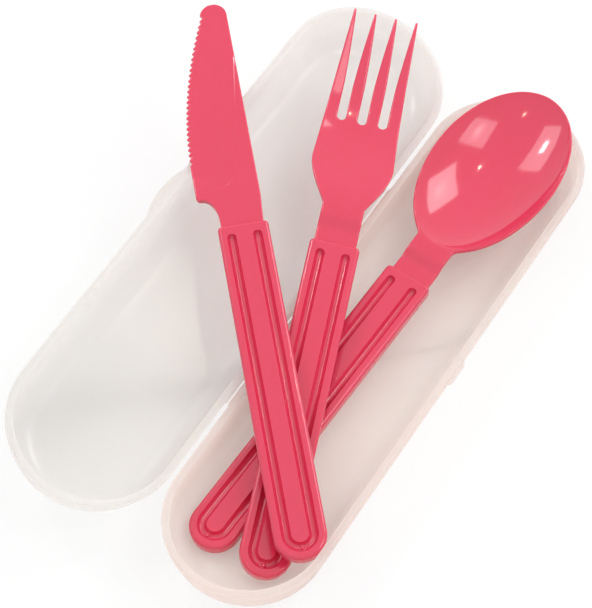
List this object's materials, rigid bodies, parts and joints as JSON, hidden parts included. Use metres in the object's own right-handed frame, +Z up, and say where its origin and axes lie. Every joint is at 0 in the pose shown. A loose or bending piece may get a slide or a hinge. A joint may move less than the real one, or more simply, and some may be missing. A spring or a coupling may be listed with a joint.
{
  "type": "cutlery pack",
  "caption": "Picnic cutlery pack: a moulded plastic knife, fork and spoon with grooved handles, lying in an open long translucent case whose lid folds on a living hinge",
  "frame": {"origin": "centre of the base shell's flat underside, on the table", "axes": "+Y along the case towards the ends that hold the spoon's bowl, +X away from the lid, +Z up"},
  "size_m": [0.1261, 0.1973, 0.0399],
  "materials": {
    "base_shell_plastic": "milky translucent moulded plastic, soft gloss",
    "lid_shell_plastic": "milky translucent moulded plastic, soft gloss",
    "knife_plastic": "glossy opaque coral pink moulded plastic",
    "fork_plastic": "glossy opaque coral pink moulded plastic",
    "spoon_plastic": "glossy opaque coral pink moulded plastic"
  },
  "bodies": {
    "base": {"base_shell": "base_shell_plastic", "knife": "knife_plastic", "fork": "fork_plastic", "spoon": "spoon_plastic"},
    "lid": {"lid_shell": "lid_shell_plastic"}
  },
  "joints": [
    {"name": "lid_hinge", "type": "hinge", "parent": "base", "child": "lid", "pos_m": [-0.0253, 0, 0.01615], "axis": [0, 1, 0], "range_deg": [-15, 0]}
  ]
}
